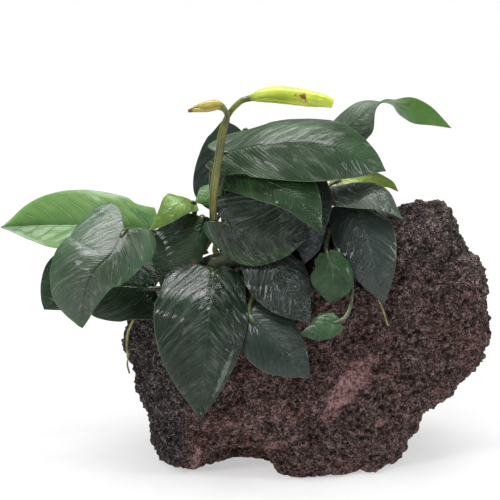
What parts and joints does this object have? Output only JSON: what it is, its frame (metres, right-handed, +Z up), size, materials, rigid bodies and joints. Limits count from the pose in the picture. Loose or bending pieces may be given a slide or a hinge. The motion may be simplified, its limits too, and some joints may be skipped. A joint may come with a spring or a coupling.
{
  "type": "aquarium plant on lava rock",
  "caption": "Broad-leaved dwarf anubias with creeping rhizome, glossy wet leaves, a spathe and a bud, grown onto a pitted reddish-brown lava stone.",
  "frame": {"origin": "on the ground plane, on the stone's flat resting face, below the planted part", "axes": "+X along the stone's long way, -Y out of the planted front, +Z up"},
  "size_m": [0.2059, 0.0992, 0.1626],
  "materials": {
    "lava_rock": "rough, pitted lava, reddish brown to charcoal",
    "rhizome": "living stem, stands in as matte plastic",
    "leaf_dark": "wet, glossy dark green leaf",
    "leaf_mid": "wet, glossy green leaf",
    "leaf_bright": "bright green leaf",
    "leaf_yellow": "young yellow-green leaf",
    "spathe": "satin yellow-green spathe on an olive stalk",
    "bud": "tan to olive bud and stalk",
    "root": "pale yellow to brown-green root"
  },
  "bodies": {
    "root": {"lava_rock": "lava_rock", "rhizome": "rhizome", "leaf_far_left": "leaf_bright", "leaf_heart_left": "leaf_mid", "leaf_low_left": "leaf_dark", "leaf_wet_left": "leaf_dark", "leaf_front": "leaf_dark", "leaf_centre": "leaf_dark", "leaf_upper_centre": "leaf_mid", "leaf_top_large": "leaf_mid", "leaf_back_left": "leaf_dark", "leaf_twisted_right": "leaf_bright", "leaf_flat_right": "leaf_mid", "leaf_yellow_right": "leaf_yellow", "leaf_right": "leaf_dark", "leaf_small_round": "leaf_mid", "leaf_small_curled": "leaf_mid", "leaf_wet_centre": "leaf_dark", "leaf_low_centre": "leaf_dark", "leaf_young_left": "leaf_yellow", "leaf_shaded_right": "leaf_dark", "leaf_young_centre": "leaf_bright", "leaf_shaded_centre": "leaf_dark", "leaf_narrow_right": "leaf_mid", "flower_stem": "spathe", "bud_stem": "bud", "root_left": "root", "root_front_left": "root", "root_front_right": "root", "root_back": "root", "root_back_right": "root"}
  },
  "joints": []
}
